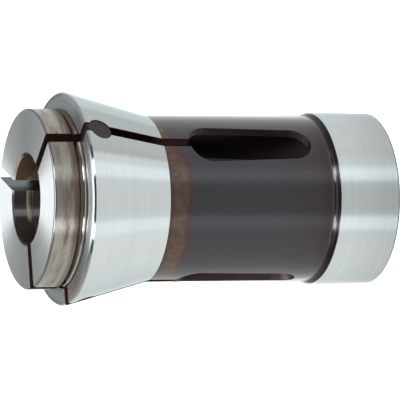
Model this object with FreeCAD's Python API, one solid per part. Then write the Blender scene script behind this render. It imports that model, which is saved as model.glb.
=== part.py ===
import FreeCAD, Part
import math
import os

# Push-type collet: one spring-steel body, slit into three jaws, whose slits are
# sealed with rubber in the head. Z runs along the collet from the middle of its
# tail face to its nose. The middle of the first jaw slit lies on the X side.
# All sizes are in millimetres, and angles in degrees.

# Guide ring at the tail
guide_diameter = 48.0
guide_length = 17.85
guide_edge_chamfer = 0.3
shoulder_length = 1.45
shoulder_crest_radius = 0.8
shoulder_root_radius = 1.4

# Spring body
body_diameter = 45.9
body_bore_diameter = 40.8
tail_mouth_chamfer = 0.8

# Head with its closing taper
head_face_height = 91.05
head_diameter = 58.6
taper_half_angle = 15.0
head_edge_chamfer = 0.5
root_fillet_radius = 0.45

# Extended nose
nose_diameter = 49.2
nose_length = 9.65
nose_edge_chamfer = 0.4
relief_offset = 1.05
relief_width = 1.6
relief_depth = 0.35

# Clamping bore
grip_diameter = 24.4
grip_length = 29.7
grip_mouth_chamfer = 0.5
grip_groove_offset = 4.7
grip_groove_width = 1.2
grip_groove_depth = 0.4
inner_taper_half_angle = 45.0

# Jaw slits
jaw_count = 3
slit_tail_width = 2.6
slit_nose_width = 3.0
milled_edge_chamfer = 0.1

# Spring windows
window_head_end = 59.65
window_tail_end = 24.15
window_head_width = 12.2
window_tail_width = 10.4

# Seal holes and the rubber in them
seal_hole_diameter = 6.4
seal_hole_offset = 4.5
seal_recess = 0.35
seal_face_recess = 0.6
seal_bore_recess = 1.0

# Keyway in the guide ring, half a jaw pitch from two slits
keyway_width = 5.0
keyway_depth = 2.0
keyway_length = 11.0
keyway_angle = 60.0

# Sizes that follow
guide_radius = guide_diameter / 2
body_radius = body_diameter / 2
body_bore_radius = body_bore_diameter / 2
head_radius = head_diameter / 2
nose_radius = nose_diameter / 2
grip_radius = grip_diameter / 2
taper_slope = math.tan(math.radians(taper_half_angle))
taper_start = head_face_height - (head_radius - body_radius) / taper_slope
nose_face_height = head_face_height + nose_length
grip_end = nose_face_height - grip_length
inner_taper_length = (body_bore_radius - grip_radius) / math.tan(math.radians(inner_taper_half_angle))
seal_hole_height = head_face_height - seal_hole_offset
cutter_reach = max(head_radius, guide_radius) + 5
shortest_milled_edge = 3 * milled_edge_chamfer
surface_tolerance = 0.01
jaw_pitch = 360 / jaw_count


def vector(x, y, z):
    return FreeCAD.Vector(x, y, z)


def turned(solid, degrees):
    """A copy of the solid, turned about the collet's axis."""
    copy = solid.copy()
    copy.rotate(vector(0, 0, 0), vector(0, 0, 1), degrees)
    return copy


def rounded_wire(corners):
    """A closed outline in the XZ plane. Each corner is (radius, height, rounding)."""
    points = [vector(x, 0, z) for x, z, _ in corners]
    starts, ends, edges = [], [], []
    for index, (_, _, rounding) in enumerate(corners):
        here = points[index]
        to_last = (points[index - 1] - here).normalize()
        to_next = (points[(index + 1) % len(points)] - here).normalize()
        half_turn = to_last.getAngle(to_next) / 2
        setback = rounding / math.tan(half_turn)
        starts.append(here + to_last * setback)
        ends.append(here + to_next * setback)
        if rounding:
            bisector = (to_last + to_next).normalize()
            centre = here + bisector * (rounding / math.sin(half_turn))
            edges.append(Part.Arc(starts[index], centre - bisector * rounding, ends[index]).toShape())
        if index:
            edges.append(Part.LineSegment(ends[index - 1], starts[index]).toShape())
    edges.append(Part.LineSegment(ends[-1], starts[0]).toShape())
    return Part.Wire(Part.__sortEdges__(edges))


def outer_radius(height):
    """The radius of the collet's outside at a height above the guide ring."""
    if height > head_face_height:
        return nose_radius
    return body_radius + max(0, height - taper_start) * taper_slope


def turned_blank():
    """The collet as it leaves the lathe and the grinder, before it is slit."""
    shoulder_top = guide_length + shoulder_length
    relief_end = head_face_height + relief_offset
    relief_start = relief_end + relief_width
    groove_nose_side = nose_face_height - grip_groove_offset
    groove_tail_side = groove_nose_side - grip_groove_width
    outside = [
        (guide_radius - guide_edge_chamfer, 0, 0),
        (guide_radius, guide_edge_chamfer, 0),
        (guide_radius, guide_length, shoulder_crest_radius),
        (body_radius, shoulder_top, shoulder_root_radius),
        (body_radius, taper_start, 0),
        (outer_radius(head_face_height - head_edge_chamfer), head_face_height - head_edge_chamfer, 0),
        (head_radius - head_edge_chamfer, head_face_height, 0),
        (nose_radius, head_face_height, root_fillet_radius),
        (nose_radius, relief_end, 0),
        (nose_radius - relief_depth, relief_end + relief_depth, 0),
        (nose_radius - relief_depth, relief_start - relief_depth, 0),
        (nose_radius, relief_start, 0),
        (nose_radius, nose_face_height - nose_edge_chamfer, 0),
        (nose_radius - nose_edge_chamfer, nose_face_height, 0),
    ]
    inside = [
        (grip_radius + grip_mouth_chamfer, nose_face_height, 0),
        (grip_radius, nose_face_height - grip_mouth_chamfer, 0),
        (grip_radius, groove_nose_side, 0),
        (grip_radius + grip_groove_depth, groove_nose_side, 0),
        (grip_radius + grip_groove_depth, groove_tail_side, 0),
        (grip_radius, groove_tail_side, 0),
        (grip_radius, grip_end, 0),
        (body_bore_radius, grip_end - inner_taper_length, 0),
        (body_bore_radius, tail_mouth_chamfer, 0),
        (body_bore_radius + tail_mouth_chamfer, 0, 0),
    ]
    section = Part.Face(rounded_wire(outside + inside))
    return section.revolve(vector(0, 0, 0), vector(0, 0, 1), 360)


def slit_width(height):
    """The slit's width at a height: the jaws are sprung open towards the nose."""
    share = (height - window_head_end) / (nose_face_height - window_head_end)
    return slit_tail_width + share * (slit_nose_width - slit_tail_width)


def slit_cutter(low, high, inner, outer):
    """The space of one jaw slit between two heights and two distances from the axis."""
    corners = [
        vector(inner, -slit_width(low) / 2, low),
        vector(inner, slit_width(low) / 2, low),
        vector(inner, slit_width(high) / 2, high),
        vector(inner, -slit_width(high) / 2, high),
    ]
    outline = Part.makePolygon(corners + corners[:1])
    return Part.Face(outline).extrude(vector(outer - inner, 0, 0))


def window_cutter():
    """The space that one spring window is milled from: two round ends joined by tangents."""
    head_end_radius = window_head_width / 2
    tail_end_radius = window_tail_width / 2
    head_centre = window_head_end - head_end_radius
    tail_centre = window_tail_end + tail_end_radius
    lean = math.asin((head_end_radius - tail_end_radius) / (head_centre - tail_centre))

    def rim(centre, radius, angle):
        return vector(0, radius * math.cos(angle), centre + radius * math.sin(angle))

    left, right = math.pi + lean, -lean
    head_end = [rim(head_centre, head_end_radius, angle) for angle in (right, math.pi / 2, left)]
    tail_end = [rim(tail_centre, tail_end_radius, angle) for angle in (left, -math.pi / 2, right)]
    edges = [
        Part.Arc(*head_end).toShape(),
        Part.LineSegment(head_end[-1], tail_end[0]).toShape(),
        Part.Arc(*tail_end).toShape(),
        Part.LineSegment(tail_end[-1], head_end[0]).toShape(),
    ]
    return Part.Face(Part.Wire(edges)).extrude(vector(cutter_reach, 0, 0))


def seal_hole_cutter(inner, outer):
    """The round end of one seal, or the hole for it, between two distances from the axis."""
    base = vector(inner, 0, seal_hole_height)
    return Part.makeCylinder(seal_hole_diameter / 2, outer - inner, base, vector(1, 0, 0))


def keyway_cutter():
    """The key groove in the guide ring, open at the tail and round at its other end."""
    floor = guide_radius - keyway_depth
    end_radius = keyway_width / 2
    straight = keyway_length - end_radius
    bar = Part.makeBox(cutter_reach - floor, keyway_width, straight, vector(floor, -end_radius, 0))
    end = Part.makeCylinder(
        end_radius, cutter_reach - floor, vector(floor, 0, straight), vector(1, 0, 0)
    )
    return turned(bar.fuse(end), keyway_angle)


def is_milled_edge(edge):
    """True for an outer edge of a slit, window or seal hole, which runs along the collet."""
    span = edge.BoundBox.ZLength
    if span < shortest_milled_edge or edge.BoundBox.ZMin < guide_length + shoulder_length:
        return False
    points = edge.discretize(5)[1:-1]
    return all(abs(math.hypot(point.x, point.y) - outer_radius(point.z)) < surface_tolerance for point in points)


def collet_body():
    """The steel body with its jaw slits, windows, seal holes and keyway, and its edges broken."""
    jaw_cutters = [
        slit_cutter((window_head_end + window_tail_end) / 2, nose_face_height + 1, 0, cutter_reach),
        window_cutter(),
        seal_hole_cutter(0, cutter_reach),
    ]
    cutters = [
        turned(cutter, jaw_pitch * jaw) for jaw in range(jaw_count) for cutter in jaw_cutters
    ]
    slit_blank = turned_blank().cut(cutters + [keyway_cutter()]).removeSplitter()
    return slit_blank.makeChamfer(milled_edge_chamfer, [edge for edge in slit_blank.Edges if is_milled_edge(edge)])


def slot_seal():
    """The rubber in one slit of the head: a round plug and a web to the head's front face."""
    inner = grip_radius + seal_bore_recess
    web_front = head_face_height - seal_face_recess
    plug = seal_hole_cutter(inner, cutter_reach)
    web = slit_cutter(seal_hole_height, web_front, inner, cutter_reach)
    envelope = Part.makeCone(
        body_radius - seal_recess,
        body_radius - seal_recess + taper_slope * (web_front - taper_start),
        web_front - taper_start,
        vector(0, 0, taper_start),
        vector(0, 0, 1),
    )
    return plug.fuse(web).common(envelope).removeSplitter()


def single_solid(shape):
    """The one solid that a boolean result holds."""
    return shape.Solids[0]


def save(name, solid):
    solid.exportStep("parts/" + name + ".step")


os.makedirs("parts", exist_ok=True)
save("collet_body", single_solid(collet_body()))
for jaw in range(jaw_count):
    save("slot_seal_" + str(jaw + 1), turned(single_solid(slot_seal()), jaw_pitch * jaw))
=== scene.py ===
"""A push-type collet, standing on its tail: ground, turned and blackened spring steel with rubber seals.

Z runs along the collet from its tail face to its nose, and the middle of the first slit lies on the X side.
"""

import math

import bpy
from mathutils import Matrix, Vector

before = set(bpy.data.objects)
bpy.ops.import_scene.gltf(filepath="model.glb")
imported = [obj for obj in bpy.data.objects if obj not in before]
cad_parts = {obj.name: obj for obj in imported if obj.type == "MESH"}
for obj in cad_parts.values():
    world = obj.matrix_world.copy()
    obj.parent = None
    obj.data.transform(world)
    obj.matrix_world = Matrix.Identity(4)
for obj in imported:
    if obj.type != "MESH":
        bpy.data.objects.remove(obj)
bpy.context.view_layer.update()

MM = 0.001

# How far the limit of a tone keeps clear of the next face
HAIR = 0.02 * MM

# Heights above the tail face
TAIL_CHAMFER_TOP = 0.45 * MM
GUIDE_TOP = 17.85 * MM
SHOULDER_ROOT_START = 18.5 * MM
SHOULDER_ROOT_END = 19.9 * MM
WINDOW_TOP = 60 * MM
TAPER_START = 67.35 * MM
HEAD_EDGE_START = 90.56 * MM
HEAD_FACE = 91.05 * MM
FILLET_TOP = 91.40 * MM
NOSE_ROOT_TOP = 91.85 * MM
LAND_TOP = 92.35 * MM
GROOVE_TOP = 93.66 * MM
NOSE_EDGE_START = 100.05 * MM
NOSE_FACE = 100.7 * MM

# Radii: up to which a surface belongs to the clamping bore, of the spring part's outside, and at which the
# worn edges of nose and head start
BORE_LIMIT = 12.8 * MM
BODY_RADIUS = 22.95 * MM
NOSE_EDGE_RADIUS = 24.1 * MM
HEAD_EDGE_RADIUS = 27.6 * MM

# The way over each worn edge, and the bends on it as (start, end, degrees), with start and end as shares
HEAD_EDGE_WAY = 1.57 * MM
HEAD_EDGE_BENDS = ((-0.2, 0.2, 45), (0.74, 0.83, 28), (0.955, 1.0, 9))
NOSE_EDGE_WAY = 1.15 * MM
NOSE_EDGE_BENDS = ((0.0, 0.62, 50), (0.62, 0.93, 32), (0.93, 1.0, 18))

# Turns about the collet's axis from the first slit. The front is the side that the photo shows.
SECOND_SLIT = math.radians(120)
THIRD_SLIT = math.radians(-120)
FRONT_TURN = math.radians(-41.8)

# The camera looks at the front side, from some way off and a little above
CAMERA_DISTANCE = 832 * MM
CAMERA_LENS = 270.0
CAMERA_LIFT = math.radians(21.2)
LOOK_HEIGHT = 49.92 * MM

# The collet's axis lies a little above the middle of the frame and leans by a fraction of a degree
FRAME_PIXELS = 400
UP_SHIFT_PIXELS = 1.3
SIDE_SHIFT_PIXELS = 0.5
CAMERA_ROLL = math.radians(-0.15)

# The level direction from the collet to the camera, and the direction that is up in the picture
AHEAD = Vector((math.cos(FRONT_TURN), math.sin(FRONT_TURN), 0))
ACROSS = Vector((-AHEAD.y, AHEAD.x, 0))

# The key lamp stands over the camera. All else is lit faintly and plainly.
KEY_LAMP_LIFT = math.radians(34)
KEY_LAMP_WIDTH = math.radians(5)
KEY_LAMP_STRENGTH = 3.6
FAINT_LIGHT = 0.12

# The dark strip on the floor behind the collet: half its width, its straight length and its faded end
SHADOW_HALF_WIDTH = 30 * MM
SHADOW_LENGTH = 115 * MM
SHADOW_END = 55 * MM

# Tones of the ground and turned steel
GROUND = (0.685, 0.738, 0.730)
FACE = (0.80, 0.825, 0.83)
HEAD_FACE_GREY = (0.684, 0.728, 0.726)
HEAD_FACE_BROWN = (0.60, 0.52, 0.48)
NOSE = (0.350, 0.325, 0.280)
NOSE_PALE = (0.47, 0.455, 0.40)
# Painted shade: a darker band across the nose's front
NOSE_FRONT_SHADE = (0.26, 0.245, 0.235)
NOSE_BROWN = (0.19, 0.145, 0.115)
NOSE_EDGE = (0.40, 0.39, 0.38)
GROOVE = (0.25, 0.185, 0.140)
# The land's pale tone is ground steel brightened into a painted highlight
LAND_HIGHLIGHT = (0.92, 0.88, 0.83)
# Painted shade in the corner where the nose's root meets the head
NOSE_ROOT_SHADE = (0.21, 0.19, 0.165)
FILLET = (0.38, 0.37, 0.37)

# Tones of the blackened spring part, its temper colours and the shoulder below it
BLACKED = (0.053, 0.051, 0.056)
BLACKED_BROWN = (0.046, 0.032, 0.028)
TEMPER = (0.135, 0.080, 0.044)
TEMPER_NEAR = (0.074, 0.042, 0.036)
TEMPER_RED = (0.085, 0.032, 0.030)
TEMPER_BLUE = (0.051, 0.052, 0.059)
# Painted highlight on the shoulder's root
SHOULDER_HIGHLIGHT = (0.160, 0.158, 0.168)
SHOULDER_DARK = (0.036, 0.026, 0.024)

# Tones of the bores, and of the walls of slits and windows
BORE = (0.195, 0.160, 0.160)
BORE_LIT = (0.31, 0.31, 0.32)
BORE_BROWN = (0.50, 0.35, 0.215)
BORE_GROOVE = (0.70, 0.58, 0.48)
BORE_MOUTH = (0.06, 0.05, 0.046)
# Painted highlight on the bore mouth's chamfer
BORE_MOUTH_HIGHLIGHT = (0.85, 0.80, 0.74)
PASSAGE = (0.05, 0.036, 0.038)
SLIT_WALL = (0.125, 0.058, 0.052)
WINDOW_WALL = (0.105, 0.078, 0.072)
WINDOW_WALL_PALE = (0.28, 0.20, 0.195)
NOSE_WALL = (0.32, 0.185, 0.160)
NOSE_WALL_GREY = (0.125, 0.120, 0.120)

# Tones of the rubber
RUBBER = (0.034, 0.029, 0.031)
RUBBER_PALE = (0.056, 0.050, 0.053)
RUBBER_FRONT = (0.022, 0.013, 0.011)

# Tones of the floor and of the light
FLOOR = (0.85, 0.85, 0.85)
FLOOR_SHADOW = (0.03, 0.03, 0.03)
WHITE = (1, 1, 1)
COOL_WHITE = (0.94, 0.985, 1.03)

# Roughness of each finish
TURNED_FINISH = 0.234
TAPER_FINISH = 0.13
WORN_FINISH = 0.13
NOSE_FACE_FINISH = 0.60
HEAD_FACE_FINISH = 0.49
SHOULDER_FINISH = 0.16
WALL_FINISH = 0.45
NOSE_WALL_FINISH = 0.2
BORE_FINISH = 0.36
BORE_GROOVE_FINISH = 0.6


class Graph:
    """Short ways to place and link the nodes of one tree."""

    # Sockets of a mix node for each kind of value: the first, the second and the result
    MIX_SOCKETS = {"FLOAT": (2, 3, 0), "VECTOR": (4, 5, 1), "RGBA": (6, 7, 2)}

    def __init__(self, tree):
        self.tree = tree

    def node(self, kind, **settings):
        node = self.tree.nodes.new(kind)
        for name, value in settings.items():
            setattr(node, name, value)
        return node

    def feed(self, socket, value):
        """Links a socket to another, or gives it a plain value. A plain colour has no alpha."""
        if isinstance(value, bpy.types.NodeSocket):
            self.tree.links.new(value, socket)
        elif socket.type == "RGBA":
            socket.default_value = (*value, 1)
        elif value is not None:
            socket.default_value = value

    def feed_all(self, sockets, values):
        for socket, value in zip(sockets, values):
            self.feed(socket, value)

    def math(self, operation, first, second=None, third=None, clamp=False):
        node = self.node("ShaderNodeMath", operation=operation, use_clamp=clamp)
        self.feed_all(node.inputs, (first, second, third))
        return node.outputs[0]

    def vector_math(self, operation, first, second=None):
        node = self.node("ShaderNodeVectorMath", operation=operation)
        self.feed_all(node.inputs, (first, second))
        return node.outputs["Value" if operation in ("DOT_PRODUCT", "LENGTH") else "Vector"]

    def scale(self, vector, factor):
        node = self.node("ShaderNodeVectorMath", operation="SCALE")
        self.feed_all((node.inputs[0], node.inputs["Scale"]), (vector, factor))
        return node.outputs[0]

    def above(self, value, limit):
        return self.math("GREATER_THAN", value, limit)

    def below(self, value, limit):
        return self.math("LESS_THAN", value, limit)

    def all_of(self, *masks):
        """The product of masks."""
        result = masks[0]
        for mask in masks[1:]:
            result = self.math("MULTIPLY", result, mask)
        return result

    def outside(self, mask):
        """1 where the mask is 0, and 0 where it is 1."""
        return self.math("SUBTRACT", 1.0, mask)

    def step(self, value, low, high):
        """A soft step: 0 below low and 1 above high, or the other way round if low is the larger."""
        node = self.node("ShaderNodeMapRange", interpolation_type="SMOOTHSTEP")
        flipped = low > high
        self.feed(node.inputs["Value"], value)
        node.inputs["From Min"].default_value = min(low, high)
        node.inputs["From Max"].default_value = max(low, high)
        node.inputs["To Min"].default_value = 1.0 if flipped else 0.0
        node.inputs["To Max"].default_value = 0.0 if flipped else 1.0
        return node.outputs["Result"]

    def band(self, value, low, high, soft):
        """1 between low and high, with soft sides."""
        return self.all_of(
            self.step(value, low - soft, low + soft), self.step(value, high + soft, high - soft)
        )

    def toward(self, turn, middle):
        """1 on the side of the collet at the middle turn, down to -1 on the side opposite."""
        return self.math("COSINE", self.math("SUBTRACT", turn, middle))

    def side(self, turn, start, end, soft):
        """1 on the side of the collet between two turns from its front, in radians, with soft ends.

        A turn above 0 is to the right of the front, as seen from there.
        """
        return self.band(turn, FRONT_TURN + start, FRONT_TURN + end, soft)

    def spread(self, value, low, high):
        """A value from 0 to 1, spread between low and high."""
        return self.math("MULTIPLY_ADD", value, high - low, low)

    def mixed(self, kind, factor, first, second):
        """The first value where the factor is 0, and the second where it is 1."""
        node = self.node("ShaderNodeMix", data_type=kind)
        first_socket, second_socket, result = self.MIX_SOCKETS[kind]
        sockets = (node.inputs["Factor"], node.inputs[first_socket], node.inputs[second_socket])
        self.feed_all(sockets, (factor, first, second))
        return node.outputs[result]

    def mix(self, factor, first, second):
        return self.mixed("RGBA", factor, first, second)

    def blend(self, factor, first, second):
        return self.mixed("FLOAT", factor, first, second)

    def vector_mix(self, factor, first, second):
        return self.mixed("VECTOR", factor, first, second)

    def paint(self, tone, *layers):
        """Lays tones over one another. Each layer is a mask and its tone."""
        for mask, layer_tone in layers:
            tone = self.mix(mask, tone, layer_tone)
        return tone

    def layer(self, value, *layers):
        """Lays numbers over one another. Each layer is a mask and its number."""
        for mask, layer_value in layers:
            value = self.blend(mask, value, layer_value)
        return value

    def noise(self, vector, scale, detail, roughness=0.5):
        """Noise from 0 to 1. More detail and roughness make it finer."""
        node = self.node("ShaderNodeTexNoise")
        self.feed(node.inputs["Vector"], vector)
        node.inputs["Scale"].default_value = scale
        node.inputs["Detail"].default_value = detail
        node.inputs["Roughness"].default_value = roughness
        return node.outputs["Fac"]

    def combine(self, x, y, z):
        node = self.node("ShaderNodeCombineXYZ")
        self.feed_all(node.inputs, (x, y, z))
        return node.outputs[0]

    def separate(self, vector):
        node = self.node("ShaderNodeSeparateXYZ")
        self.feed(node.inputs[0], vector)
        return node.outputs[0], node.outputs[1], node.outputs[2]

    def group(self, tree, **inputs):
        node = self.node("ShaderNodeGroup", node_tree=tree)
        for name, value in inputs.items():
            self.feed(node.inputs[name], value)
        return node.outputs


def new_group(name, inputs, outputs):
    """An empty node group. Inputs and outputs are pairs of a name and a kind."""
    tree = bpy.data.node_groups.new(name, "ShaderNodeTree")
    for direction, sockets in (("INPUT", inputs), ("OUTPUT", outputs)):
        for socket_name, kind in sockets:
            socket_type = "NodeSocket" + kind
            tree.interface.new_socket(name=socket_name, in_out=direction, socket_type=socket_type)
    graph = Graph(tree)
    return graph, graph.node("NodeGroupInput").outputs, graph.node("NodeGroupOutput").inputs


def collet_place_group():
    """Where a point lies on the collet, which way it faces, and a grid that wraps round the axis."""
    names = ("Height", "Radius", "Turn", "Outward", "Upward")
    sockets = [(name, "Float") for name in names] + [("Wrap", "Vector")]
    graph, _, results = new_group("collet place", [], sockets)
    x, y, height = graph.separate(graph.node("ShaderNodeTexCoord").outputs["Object"])
    normal = graph.node("ShaderNodeNewGeometry").outputs["Normal"]
    turn = graph.math("ARCTAN2", y, x)
    round_way = graph.combine(graph.math("COSINE", turn), graph.math("SINE", turn), 0.0)
    lifted = graph.combine(0.0, 0.0, graph.math("DIVIDE", height, BODY_RADIUS))
    graph.feed(results["Height"], height)
    graph.feed(results["Radius"], graph.vector_math("LENGTH", graph.combine(x, y, 0.0)))
    graph.feed(results["Turn"], turn)
    graph.feed(results["Outward"], graph.vector_math("DOT_PRODUCT", normal, round_way))
    graph.feed(results["Upward"], graph.separate(normal)[2])
    graph.feed(results["Wrap"], graph.vector_math("ADD", round_way, lifted))
    return graph.tree


def turned_rings_group():
    """Fine marks round the axis, as a turning tool or a grinding wheel leaves them."""
    graph, given, results = new_group(
        "turned rings", [("Along", "Float"), ("Pitch", "Float"), ("Turn", "Float")], [("Rings", "Float")]
    )
    line = graph.math("DIVIDE", given["Along"], given["Pitch"])
    wander = graph.math("MULTIPLY", graph.math("SINE", given["Turn"]), 0.8)
    coarse = graph.noise(graph.combine(line, wander, 0.0), 0.35, 1.0)
    fine = graph.noise(graph.combine(line, wander, 7.0), 1.0, 3.0, 0.7)
    graph.feed(results["Rings"], graph.math("MULTIPLY_ADD", coarse, 0.5, graph.math("MULTIPLY", fine, 0.5)))
    return graph.tree


def tilted_normal_group():
    """The normal of a turned surface that faces outward and is tilted up by an angle."""
    graph, given, results = new_group(
        "tilted normal", [("Tilt", "Float"), ("Turn", "Float")], [("Normal", "Vector")]
    )
    level = graph.math("COSINE", given["Tilt"])
    x = graph.math("MULTIPLY", level, graph.math("COSINE", given["Turn"]))
    y = graph.math("MULTIPLY", level, graph.math("SINE", given["Turn"]))
    graph.feed(results["Normal"], graph.combine(x, y, graph.math("SINE", given["Tilt"])))
    return graph.tree


def new_material(name):
    """A material with the graph of its nodes and its Principled shader."""
    material = bpy.data.materials.new(name)
    material.use_nodes = True
    return material, Graph(material.node_tree), material.node_tree.nodes["Principled BSDF"]


def set_plain(shader, values):
    """Gives the shader the values that are the same all over the surface."""
    for name, value in values.items():
        shader.inputs[name].default_value = value


def add_relief(graph, shader, relief, strength, depth, normal=None):
    """Fine relief on the surface, on top of a normal that may be bent."""
    bump = graph.node("ShaderNodeBump")
    bump.inputs["Strength"].default_value = strength
    bump.inputs["Distance"].default_value = depth
    graph.feed(bump.inputs["Height"], relief)
    graph.feed(bump.inputs["Normal"], normal)
    graph.feed(shader.inputs["Normal"], bump.outputs[0])


def steel_zones(graph, place):
    """Masks of the body's parts, each 1 on its part and 0 elsewhere."""
    height, upward = place["Height"], place["Upward"]
    taper = graph.above(height, TAPER_START)
    guide = graph.below(height, GUIDE_TOP - HAIR)
    beside_head_face = graph.band(height, HEAD_FACE - 0.3 * MM, HEAD_FACE + 0.3 * MM, 0.1 * MM)
    return {
        "taper": taper,
        "guide": guide,
        "ground": graph.math("MAXIMUM", taper, guide),
        "nose": graph.above(height, HEAD_FACE + 0.05 * MM),
        "level": graph.step(graph.math("ABSOLUTE", upward), 0.85, 0.95),
        "head face": graph.all_of(graph.step(upward, 0.8, 0.95), beside_head_face),
        "shoulder": graph.band(height, 18.0 * MM, 20.2 * MM, 0.25 * MM),
    }


def nose_tones(graph, place, specks):
    """The turned nose: brown patches and streaks that run round it, painted shade and highlights, and a
    dark groove next to the head.
    """
    height, turn, wrap = place["Height"], place["Turn"], place["Wrap"]
    patches = graph.noise(graph.vector_math("MULTIPLY", wrap, (1.0, 1.0, 5.0)), 2.2, 4.0, 0.6)
    streaks = graph.noise(graph.vector_math("MULTIPLY", wrap, (1.0, 1.0, 45.0)), 2.0, 4.0, 0.7)
    pale_patches = graph.step(patches, 0.35, 0.7)
    # Painted shade: a darker band across the nose's front, broken up by the patches
    painted_front_shade = graph.all_of(graph.side(turn, -0.13, 0.30, 0.14), graph.spread(patches, 0.5, 1.0))

    # Brown next to the head, with a ragged edge, and in patches that end before the nose's face
    ragged_height = graph.math("MULTIPLY_ADD", patches, 1.6 * MM, height)
    clean_side = graph.step(turn, FRONT_TURN - 0.35, FRONT_TURN - 0.60)
    brown_edge = graph.all_of(
        graph.step(ragged_height, 96.5 * MM, 95.1 * MM), graph.spread(clean_side, 1.0, 0.5)
    )
    brown_patches = graph.all_of(
        graph.step(patches, 0.50, 0.36), graph.step(height, 99.8 * MM, 97.2 * MM), 0.75
    )
    tone = graph.paint(
        NOSE,
        (pale_patches, NOSE_PALE),
        (painted_front_shade, NOSE_FRONT_SHADE),
        (brown_edge, NOSE_BROWN),
        (brown_patches, NOSE_BROWN),
    )

    # Streaked, paler towards the face, with painted shade in a band to the right of the front, a darker
    # patch at mid-height to the left, and a painted highlight in one narrow stripe
    towards_face = graph.step(height, 94.5 * MM, 100.2 * MM)
    dark_middle_patch = graph.all_of(
        graph.side(turn, -1.0, -0.76, 0.18), graph.band(height, 96.2 * MM, 98.2 * MM, MM)
    )
    # The band to the right of the front is painted shade
    shade_and_dark_patch = graph.math("MAXIMUM", graph.side(turn, 0.42, 0.72, 0.22), dark_middle_patch)
    painted_highlight_stripe = graph.side(turn, -0.36, -0.24, 0.07)
    for shade in (
        graph.spread(towards_face, 0.94, 1.12),
        graph.spread(streaks, 0.65, 1.35),
        graph.blend(painted_highlight_stripe, graph.spread(shade_and_dark_patch, 1.0, 0.68), 1.45),
    ):
        tone = graph.scale(tone, shade)

    # Specks, and next to the head the fillet, the root in painted shade, the land with a painted highlight
    # that turns to the groove's tone on the right, and the groove
    specked = graph.all_of(graph.step(specks, 0.60, 0.72), 0.6)
    land_without_highlight = graph.step(turn, FRONT_TURN + 0.65, FRONT_TURN + 0.95)
    land_highlight_tone = graph.mix(land_without_highlight, LAND_HIGHLIGHT, GROOVE)
    return graph.paint(
        tone,
        (specked, NOSE_BROWN),
        (graph.below(height, LAND_TOP), land_highlight_tone),
        (graph.band(height, LAND_TOP + HAIR, GROOVE_TOP, HAIR), GROOVE),
        (graph.below(height, NOSE_ROOT_TOP), NOSE_ROOT_SHADE),
        (graph.below(height, FILLET_TOP), FILLET),
    )


def spring_tones(graph, place, specks, clouds):
    """The blackened spring part: brown near the guide ring, with temper colours below the taper."""
    height, wrap = place["Height"], place["Wrap"]
    brown_foot = graph.step(graph.math("MULTIPLY_ADD", clouds, 14 * MM, height), 44 * MM, 24 * MM)

    # The band of temper colours wavers, and is narrower on one side
    waver = graph.math("MULTIPLY_ADD", graph.noise(wrap, 1.9, 3.0, 0.5), -4.0 * MM, 2.0 * MM)
    narrow_side = graph.step(graph.toward(place["Turn"], FRONT_TURN + math.radians(62)), 0.72, 0.98)
    waver = graph.math("MULTIPLY_ADD", narrow_side, -3.4 * MM, waver)
    from_taper = graph.math("SUBTRACT", graph.math("SUBTRACT", TAPER_START, height), waver)
    temper = graph.paint(
        TEMPER_NEAR,
        (graph.step(from_taper, 0.4 * MM, 2.0 * MM), TEMPER),
        (graph.all_of(graph.step(specks, 0.42, 0.62), 0.8), TEMPER_NEAR),
        (graph.step(from_taper, 4.4 * MM, 6.2 * MM), TEMPER_RED),
    )
    blacked = graph.paint(
        BLACKED,
        (brown_foot, BLACKED_BROWN),
        (graph.step(from_taper, 15 * MM, 8 * MM), TEMPER_BLUE),
    )
    return graph.mix(graph.step(from_taper, 5.6 * MM, 7.8 * MM), temper, blacked)


def shoulder_tones(graph, place, tone):
    """The shoulder between spring part and guide ring: dark, with a painted highlight on its root in front.
    """
    height = place["Height"]
    in_front = graph.step(graph.toward(place["Turn"], FRONT_TURN), 0.80, 0.88)
    painted_root_highlight = graph.mix(graph.spread(in_front, 0.22, 1.0), SHOULDER_DARK, SHOULDER_HIGHLIGHT)
    return graph.paint(
        tone,
        (graph.step(height, 23.5 * MM, 20.5 * MM), SHOULDER_DARK),
        (graph.step(height, 19.8 * MM, 19.5 * MM), painted_root_highlight),
        (graph.step(height, 18.7 * MM, SHOULDER_ROOT_START), SHOULDER_DARK),
    )


def head_face_tones(graph, place):
    """The head's face: painted shade in front and to the right of it, and brown to the left."""
    radius, turn = place["Radius"], place["Turn"]
    # Painted shade: the face is darker in front near the nose, and on a side to the right
    in_front = graph.step(graph.toward(turn, FRONT_TURN), 0.62, 0.93)
    front = graph.all_of(in_front, graph.step(radius, HEAD_EDGE_RADIUS, 26.9 * MM))
    shaded_side = graph.side(turn, 0.27, 1.05, 0.14)
    brown_side = graph.side(turn, -1.36, -0.85, 0.20)
    shade = graph.all_of(graph.spread(front, 1.0, 0.80), graph.spread(shaded_side, 1.0, 0.70))
    return graph.scale(graph.mix(brown_side, HEAD_FACE_GREY, HEAD_FACE_BROWN), shade)


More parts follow.
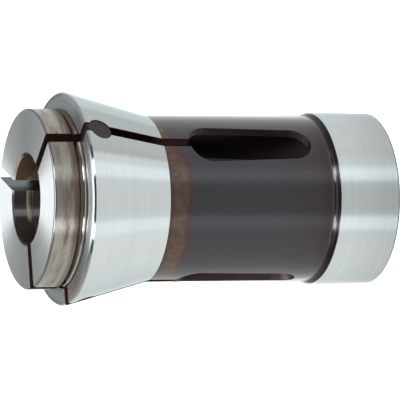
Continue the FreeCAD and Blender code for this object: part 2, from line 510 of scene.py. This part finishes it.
def outer_tones(graph, place, zones):
    """The tones of the body's outside, from the guide ring to the nose's face."""
    height, turn = place["Height"], place["Turn"]
    specks = graph.noise(place["Wrap"], 14.0, 4.0, 0.65)
    clouds = graph.noise(place["Wrap"], 3.0, 3.0, 0.55)

    # The guide ring is a little darker towards the tail
    guide_shade = graph.spread(graph.step(height, -2 * MM, 17 * MM), 0.83, 1.08)
    guide_shade = graph.blend(zones["guide"], 1.0, guide_shade)
    ground = graph.scale(GROUND, graph.all_of(guide_shade, graph.spread(clouds, 0.96, 1.04)))

    # The nose's face has a painted sheen along the line between front and back
    painted_sheen_line = graph.step(graph.math("ABSOLUTE", graph.toward(turn, FRONT_TURN)), 0.96, 1.0)
    face_tone = graph.scale(FACE, graph.spread(painted_sheen_line, 1.0, 1.09))
    return graph.paint(
        shoulder_tones(graph, place, spring_tones(graph, place, specks, clouds)),
        (zones["ground"], ground),
        # Painted shade: the tail's chamfer next to the floor, at a fifth of the ground tone
        (graph.below(height, TAIL_CHAMFER_TOP), graph.scale(ground, 0.2)),
        (zones["nose"], nose_tones(graph, place, specks)),
        (zones["head face"], head_face_tones(graph, place)),
        (graph.above(height, NOSE_FACE - 0.50 * MM), NOSE_EDGE),
        (graph.above(height, NOSE_FACE - HAIR), face_tone),
    )


def wall_tones(graph, place):
    """The walls of slits and windows, and the mask of all walls."""
    height, turn, outward = place["Height"], place["Turn"], place["Outward"]
    upright = graph.step(graph.math("ABSOLUTE", place["Upward"]), 0.95, 0.85)
    across = graph.step(outward, 0.45, 0.3)
    in_body = graph.band(height, 22 * MM, 90.4 * MM, 0.1 * MM)
    turned_away = graph.blend(in_body, across, graph.step(outward, 0.92, 0.82))
    slit_or_bore = graph.all_of(turned_away, upright, graph.below(height, NOSE_FACE - HAIR))
    window_end = graph.all_of(across, graph.band(height, 20 * MM, 62 * MM, MM))

    third_window = graph.step(graph.toward(turn, THIRD_SLIT), 0.5, 0.8)
    second_slit = graph.step(graph.toward(turn, SECOND_SLIT), 0.3, 0.7)
    tone = graph.paint(
        WINDOW_WALL,
        (third_window, WINDOW_WALL_PALE),
        (graph.above(height, WINDOW_TOP), SLIT_WALL),
        (graph.above(height, HEAD_FACE), graph.mix(second_slit, NOSE_WALL, NOSE_WALL_GREY)),
    )
    return tone, graph.math("MAXIMUM", slit_or_bore, window_end)


def inner_tones(graph, place, zones, tone):
    """Walls, bores and the bore's mouth, laid over the outside. Their masks are added to the zones."""
    height, radius, turn = place["Height"], place["Radius"], place["Turn"]
    wall_tone, wall = wall_tones(graph, place)
    facing_in = graph.step(place["Outward"], -0.5, -0.7)
    bore = graph.all_of(facing_in, graph.below(radius, BORE_LIMIT))
    passage = graph.all_of(facing_in, graph.above(radius, BORE_LIMIT))

    # The clamping bore is brown on one side, with a lit stripe, and its groove shows pale on the back
    brown_side = graph.step(graph.toward(turn, FRONT_TURN + math.radians(125)), 0.72, 0.9)
    lit_stripe = graph.band(turn, math.radians(151.5), math.radians(161.0), math.radians(1.2))
    back = graph.step(graph.toward(turn, FRONT_TURN + math.pi), 0.82, 0.93)
    pale_groove = graph.all_of(graph.band(height, 95.3 * MM, 96.6 * MM, 0.08 * MM), back)
    bore_tone = graph.paint(
        BORE, (brown_side, BORE_BROWN), (lit_stripe, BORE_LIT), (pale_groove, BORE_GROOVE)
    )

    # The mouth's chamfer is dark, with a painted highlight on a stretch at the back
    mouth_band = graph.band(height, 100.22 * MM, 100.68 * MM, HAIR)
    mouth = graph.all_of(mouth_band, graph.below(radius, BORE_LIMIT))
    mouth_highlight = graph.side(turn, 1.9, 2.95, 0.15)
    mouth_tone = graph.mix(mouth_highlight, BORE_MOUTH, BORE_MOUTH_HIGHLIGHT)
    zones["wall"] = wall
    zones["bore"] = bore
    zones["bore groove"] = graph.all_of(bore, pale_groove)
    inside = graph.paint(wall_tone, (bore, bore_tone), (passage, PASSAGE))
    return graph.paint(tone, (wall, inside), (mouth, mouth_tone))


def worn_tilt(graph, share, bends):
    """The tilt of a worn edge, which starts straight up and turns down by each bend."""
    tilt = math.pi / 2
    for start, end, degrees in bends:
        tilt = graph.math("MULTIPLY_ADD", graph.step(share, start, end), math.radians(-degrees), tilt)
    return tilt


def worn_edges(graph, place, zones):
    """The worn outer edges of head and nose, as their mask and the tilt of their surface."""
    height, radius = place["Height"], place["Radius"]
    head_share = graph.math("SUBTRACT", radius, HEAD_EDGE_RADIUS)
    head_share = graph.math("DIVIDE", head_share, HEAD_EDGE_WAY, clamp=True)
    head_edge = graph.all_of(
        graph.band(height, HEAD_EDGE_START, HEAD_FACE + 0.01 * MM, 0.01 * MM),
        graph.above(radius, HEAD_EDGE_RADIUS),
    )
    nose_share = graph.math(
        "ADD", graph.math("SUBTRACT", radius, NOSE_EDGE_RADIUS), graph.math("SUBTRACT", NOSE_FACE, height)
    )
    nose_share = graph.math("DIVIDE", nose_share, NOSE_EDGE_WAY, clamp=True)
    nose_edge = graph.all_of(graph.above(height, NOSE_EDGE_START), graph.above(radius, NOSE_EDGE_RADIUS))
    tilt = graph.blend(
        zones["nose"],
        worn_tilt(graph, head_share, HEAD_EDGE_BENDS),
        worn_tilt(graph, nose_share, NOSE_EDGE_BENDS),
    )
    return graph.all_of(graph.math("MAXIMUM", head_edge, nose_edge), graph.outside(zones["wall"])), tilt


def nose_groove(graph, place, zones):
    """The groove with its round section and the rounded lip of its land, as mask and tilt."""
    height = place["Height"]
    mask = graph.all_of(
        graph.band(height, 92.1 * MM, 93.7 * MM, 0.01 * MM),
        graph.outside(zones["wall"]),
        graph.above(place["Radius"], NOSE_EDGE_RADIUS),
    )

    # The groove's floor is upright at 92.63 mm and bends by 50 degrees in 1.07 mm
    from_upright = graph.math("SUBTRACT", 92.63 * MM, height)
    groove_tilt = graph.math("MULTIPLY", from_upright, math.radians(50) / (1.07 * MM))
    over_the_lip = graph.step(height, 92.08 * MM, 92.32 * MM)
    lip_tilt = graph.math("MULTIPLY", over_the_lip, math.radians(28))
    return mask, graph.blend(graph.above(height, LAND_TOP), lip_tilt, groove_tilt)


def shoulder_root(graph, place):
    """The round root in which the shoulder runs into the spring part, as mask and tilt."""
    height = place["Height"]
    mask = graph.all_of(
        graph.band(height, SHOULDER_ROOT_START, SHOULDER_ROOT_END, 0.01 * MM),
        graph.step(place["Outward"], 0.4, 0.6),
    )
    down_the_root = graph.step(height, SHOULDER_ROOT_END, 18.7 * MM)
    return mask, graph.math("MULTIPLY", down_the_root, math.radians(38))


def collet_steel(place_group, rings_group, tilted_group):
    """The body's steel: bright where it was ground, brown on the nose, blackened on the spring part."""
    material, graph, shader = new_material("collet steel")
    place = graph.group(place_group)
    zones = steel_zones(graph, place)
    tone = inner_tones(graph, place, zones, outer_tones(graph, place, zones))

    # Tool marks run round the collet, on level faces as rings about the axis
    rings_round, rings_level = (
        graph.group(rings_group, Along=place[way], Pitch=0.3 * MM, Turn=place["Turn"])["Rings"]
        for way in ("Height", "Radius")
    )
    rings = graph.blend(zones["level"], rings_round, rings_level)
    graph.feed(shader.inputs["Base Color"], graph.scale(tone, graph.spread(rings, 0.90, 1.10)))

    # Three narrow places bend the normal
    edge = worn_edges(graph, place, zones)
    groove = nose_groove(graph, place, zones)
    normal = graph.node("ShaderNodeNewGeometry").outputs["Normal"]
    for mask, tilt in (edge, groove, shoulder_root(graph, place)):
        bent = graph.group(tilted_group, Tilt=tilt, Turn=place["Turn"])["Normal"]
        normal = graph.vector_mix(mask, normal, bent)
    add_relief(graph, shader, rings, strength=0.15, depth=0.01 * MM, normal=normal)

    wall_finish = graph.blend(graph.above(place["Height"], HEAD_FACE), WALL_FINISH, NOSE_WALL_FINISH)
    facing_up = graph.all_of(zones["level"], graph.above(place["Upward"], 0))
    finish = graph.layer(
        TURNED_FINISH,
        (zones["taper"], TAPER_FINISH),
        (zones["nose"], TURNED_FINISH),
        (facing_up, NOSE_FACE_FINISH),
        (zones["head face"], HEAD_FACE_FINISH),
        (zones["shoulder"], SHOULDER_FINISH),
        (zones["wall"], wall_finish),
        (zones["bore"], BORE_FINISH),
        (zones["bore groove"], BORE_GROOVE_FINISH),
        (graph.math("MAXIMUM", edge[0], groove[0]), WORN_FINISH),
    )
    graph.feed(shader.inputs["Roughness"], finish)
    graph.feed(shader.inputs["Metallic"], graph.blend(zones["wall"], 1.0, 0.965))
    along_rings = graph.node("ShaderNodeTangent", direction_type="RADIAL", axis="Z").outputs[0]
    graph.feed(shader.inputs["Tangent"], along_rings)

    # A thin film of oil lies on the blackened part
    oiled = graph.outside(graph.math("MAXIMUM", zones["ground"], zones["wall"]))
    graph.feed(shader.inputs["Coat Weight"], oiled)
    set_plain(shader, {
        "Specular Tint": (0.82, 0.88, 0.90, 1),
        "Anisotropic": 0.88,
        "Anisotropic Rotation": 0.25,
        "Coat Roughness": 0.22,
        "Coat IOR": 1.45,
    })
    return material


def seal_rubber():
    """Dull grey-black rubber with a fine cut grain, darker at its front end."""
    material, graph, shader = new_material("seal rubber")
    place = graph.node("ShaderNodeTexCoord").outputs["Object"]
    grain = graph.noise(place, 2500.0, 3.0, 0.6)
    front = graph.step(graph.separate(place)[2], 89.6 * MM, 90.4 * MM)
    tone = graph.paint(RUBBER, (grain, RUBBER_PALE), (front, RUBBER_FRONT))
    graph.feed(shader.inputs["Base Color"], tone)
    graph.feed(shader.inputs["Roughness"], graph.spread(grain, 0.55, 0.75))
    set_plain(shader, {"Specular IOR Level": 0.25})
    add_relief(graph, shader, grain, strength=0.3, depth=0.05 * MM)
    return material


def dress(node, material):
    """Gives an object its one material."""
    node.data.materials.clear()
    node.data.materials.append(material)


def place_camera():
    """The camera lies on its side, so that the standing collet points left as in the photo."""
    back = AHEAD * math.cos(CAMERA_LIFT) + Vector((0, 0, math.sin(CAMERA_LIFT)))
    right = ACROSS.cross(back)
    data = bpy.data.cameras.new("camera")
    data.lens = CAMERA_LENS
    data.sensor_width = 36.0
    data.shift_x = -SIDE_SHIFT_PIXELS / FRAME_PIXELS
    data.shift_y = -UP_SHIFT_PIXELS / FRAME_PIXELS
    data.clip_start = 0.05
    data.clip_end = 20.0
    camera = bpy.data.objects.new("camera", data)
    axes = Matrix((right, ACROSS, back)).transposed().to_4x4()
    spot = Vector((0, 0, LOOK_HEIGHT)) + back * CAMERA_DISTANCE
    camera.matrix_world = Matrix.Translation(spot) @ axes @ Matrix.Rotation(CAMERA_ROLL, 4, "Z")
    bpy.context.scene.collection.objects.link(camera)
    bpy.context.scene.camera = camera


def lower_room(graph, turn, apart, lift):
    """The room below eye level, and its two pale beams: a table, darker ahead, with a grey card on it."""
    low = graph.step(lift, -26, -44)
    to_right = graph.step(turn, -20, 20)
    ahead = graph.blend(low, 0.61, 0.80)
    beside = graph.blend(low, graph.blend(to_right, 0.84, 0.81), graph.blend(to_right, 0.93, 0.86))
    behind = graph.blend(to_right, 1.15, 1.02)
    card = graph.all_of(graph.band(turn, 62.8, 132.6, 0.7), graph.step(lift, -25.5, -28.5))
    card_grey = graph.blend(graph.step(turn, 64, 78), 0.56, 0.63)
    from_beam = graph.math("ABSOLUTE", graph.math("SUBTRACT", apart, graph.blend(low, 33.0, 40.0)))
    beams = graph.step(from_beam, 13.5, 5.5)
    room = graph.layer(
        ahead,
        (graph.step(apart, 12, 56), beside),
        (card, card_grey),
        (graph.step(apart, 140, 172), behind),
        (beams, 1.08),
    )
    return room, beams


def upper_room(graph, apart, lift):
    """The room above eye level: dim, darkest ahead, and pale low down at both sides."""
    ahead = graph.blend(graph.step(lift, 38, 46), 0.06, 0.15)
    beside = graph.blend(graph.step(apart, 90, 120), 0.22, 0.40)
    pale_sides = graph.all_of(graph.band(apart, 60, 112, 3), graph.step(lift, 16, 10))
    return graph.layer(ahead, (graph.step(apart, 56, 62), beside), (pale_sides, 0.42))


def studio_world():
    """Faint plain light, and for reflections a pale room with soft boxes on both sides of the camera.

    Angles are in degrees: turn from the camera, apart the same to either side, lift above eye level.
    """
    world = bpy.data.worlds.new("studio")
    bpy.context.scene.world = world
    world.use_nodes = True
    world.cycles.sampling_method = "NONE"
    graph = Graph(world.node_tree)
    direction = graph.node("ShaderNodeTexCoord").outputs["Generated"]
    ahead = graph.vector_math("DOT_PRODUCT", direction, AHEAD)
    across = graph.vector_math("DOT_PRODUCT", direction, ACROSS)
    rise = graph.separate(direction)[2]
    turn = graph.math("MULTIPLY", graph.math("ARCTAN2", across, ahead), 180 / math.pi)
    lift = graph.math("MULTIPLY", graph.math("ARCSINE", rise), 180 / math.pi)
    apart = graph.math("ABSOLUTE", turn)

    # Over both halves of the room: a bright ceiling, two soft boxes and two more above and outside them
    lower, beams = lower_room(graph, turn, apart, lift)
    boxes = graph.all_of(graph.band(apart, 26, 43, 2.5), graph.band(lift, 8, 42, 4))
    high_boxes = graph.all_of(graph.band(apart, 39, 52, 2.5), graph.band(lift, 42, 56, 4))
    room = graph.layer(
        lower,
        (graph.step(lift, -12, 0), upper_room(graph, apart, lift)),
        (graph.step(lift, 56, 64), 2.1),
        (boxes, graph.blend(graph.step(lift, 22, 30), 2.5, 3.6)),
        (high_boxes, 3.6),
    )

    # The camera sees plain white, reflections the room, and all else the faint light
    rays = graph.node("ShaderNodeLightPath").outputs
    strength = graph.layer(FAINT_LIGHT, (rays["Is Glossy Ray"], room), (rays["Is Camera Ray"], 1.0))
    bright = graph.math("MAXIMUM", graph.math("MAXIMUM", boxes, high_boxes), beams)
    cool = graph.math("MULTIPLY", rays["Is Glossy Ray"], bright)
    background = world.node_tree.nodes["Background"]
    graph.feed(background.inputs["Strength"], strength)
    graph.feed(background.inputs["Color"], graph.mix(cool, WHITE, COOL_WHITE))


def studio_floor():
    """A white floor, dark in a strip behind the collet where the key lamp's shadow falls."""
    bpy.ops.mesh.primitive_circle_add(vertices=96, radius=6.0, fill_type="NGON", location=(0, 0, 0))
    floor = bpy.context.object
    floor.name = "floor"
    floor.visible_glossy = False
    material, graph, shader = new_material("floor white")
    place = graph.node("ShaderNodeTexCoord").outputs["Object"]
    beside = graph.math("ABSOLUTE", graph.vector_math("DOT_PRODUCT", place, ACROSS))
    behind = graph.math("MULTIPLY", graph.vector_math("DOT_PRODUCT", place, AHEAD), -1.0)
    past_length = graph.math("MAXIMUM", graph.math("SUBTRACT", behind, SHADOW_LENGTH), 0.0)
    from_middle = graph.combine(
        graph.math("DIVIDE", beside, SHADOW_HALF_WIDTH), graph.math("DIVIDE", past_length, SHADOW_END), 0.0
    )
    in_strip = graph.step(graph.vector_math("LENGTH", from_middle), 1.02, 0.6)
    shadow = graph.all_of(in_strip, graph.step(behind, 0, 25 * MM))
    graph.feed(shader.inputs["Base Color"], graph.mix(shadow, FLOOR, FLOOR_SHADOW))

    # Seen by the camera, the floor is plain white outside the strip
    camera_ray = graph.node("ShaderNodeLightPath").outputs["Is Camera Ray"]
    glow = graph.math("MULTIPLY", camera_ray, graph.spread(shadow, 1.0, 0.02))
    graph.feed(shader.inputs["Emission Strength"], glow)
    set_plain(shader, {"Roughness": 1.0, "Specular IOR Level": 0.0, "Emission Color": (1, 1, 1, 1)})
    dress(floor, material)


def key_lamp():
    """The key light comes over the camera, so that the shadow falls straight back."""
    data = bpy.data.lights.new("key lamp", "SUN")
    data.angle = KEY_LAMP_WIDTH
    data.energy = KEY_LAMP_STRENGTH
    lamp = bpy.data.objects.new("key lamp", data)
    toward_lamp = AHEAD * math.cos(KEY_LAMP_LIFT) + Vector((0, 0, math.sin(KEY_LAMP_LIFT)))
    aim = toward_lamp.to_track_quat("Z", "Y").to_matrix().to_4x4()
    lamp.matrix_world = Matrix.Translation(toward_lamp * 2) @ aim
    lamp.visible_glossy = False
    bpy.context.scene.collection.objects.link(lamp)


steel = collet_steel(collet_place_group(), turned_rings_group(), tilted_normal_group())
rubber = seal_rubber()
for name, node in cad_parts.items():
    dress(node, rubber if name.startswith("slot_seal") else steel)

place_camera()
studio_world()
studio_floor()
key_lamp()
bpy.context.scene.view_settings.view_transform = "Standard"
